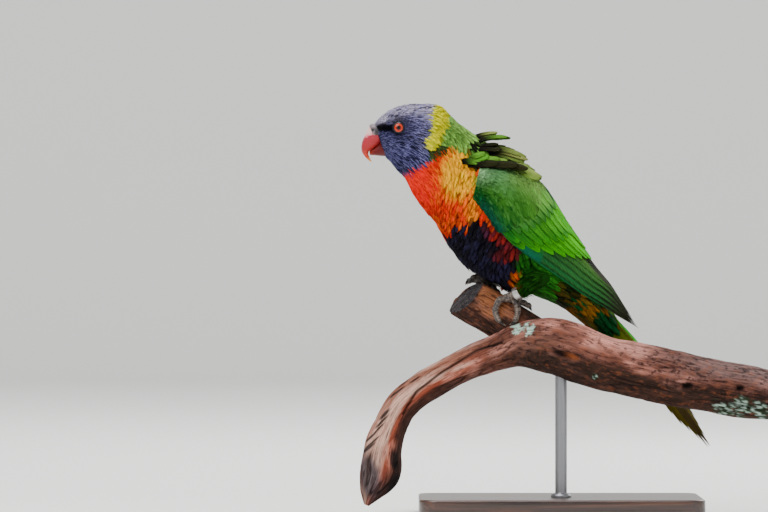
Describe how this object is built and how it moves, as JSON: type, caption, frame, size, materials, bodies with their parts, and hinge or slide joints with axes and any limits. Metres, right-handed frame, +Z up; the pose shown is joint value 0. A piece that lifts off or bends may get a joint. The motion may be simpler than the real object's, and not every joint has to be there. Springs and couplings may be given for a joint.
{
  "type": "rainbow lorikeet model",
  "caption": "Life-size parrot leaning forward on a cut branch, wings folded and nape feathers ruffled, on a flat base with one rod.",
  "frame": {"origin": "centre of the stand base's underside, on the floor", "axes": "+Z up, +X from the bird's bill towards its tail along the branch, -Y towards the bird's left side"},
  "size_m": [0.2879, 0.126, 0.2791],
  "materials": {
    "head_feathers": "matte, violet-blue with pale shafts",
    "nape_feathers": "matte, lime collar and green nape",
    "breast_feathers": "matte, orange breast and violet belly",
    "wing_feathers": "satin, green",
    "tail_feathers": "satin, green and olive yellow",
    "bill_horn": "smooth horn, red with a yellow tip",
    "cere_skin": "bare skin",
    "eye": "wet, orange-red iris",
    "foot_scales": "dark scutes",
    "bark": "weathered, cracked",
    "stained_wood": "stained, satin",
    "steel": "plain, brushed"
  },
  "bodies": {
    "root": {"head": "head_feathers", "bill_upper": "bill_horn", "bill_lower": "bill_horn", "cere": "cere_skin", "eye_left": "eye", "eye_right": "eye", "neck": "nape_feathers", "torso": "breast_feathers", "tail_base": "tail_feathers", "tail": "tail_feathers", "wing_left": "wing_feathers", "wing_right": "wing_feathers", "thigh_left": "wing_feathers", "thigh_right": "wing_feathers", "foot_left": "foot_scales", "foot_right": "foot_scales", "leg_ring": "steel", "perch_branch": "bark", "stand_base": "stained_wood", "stand_rod": "steel"}
  },
  "joints": []
}
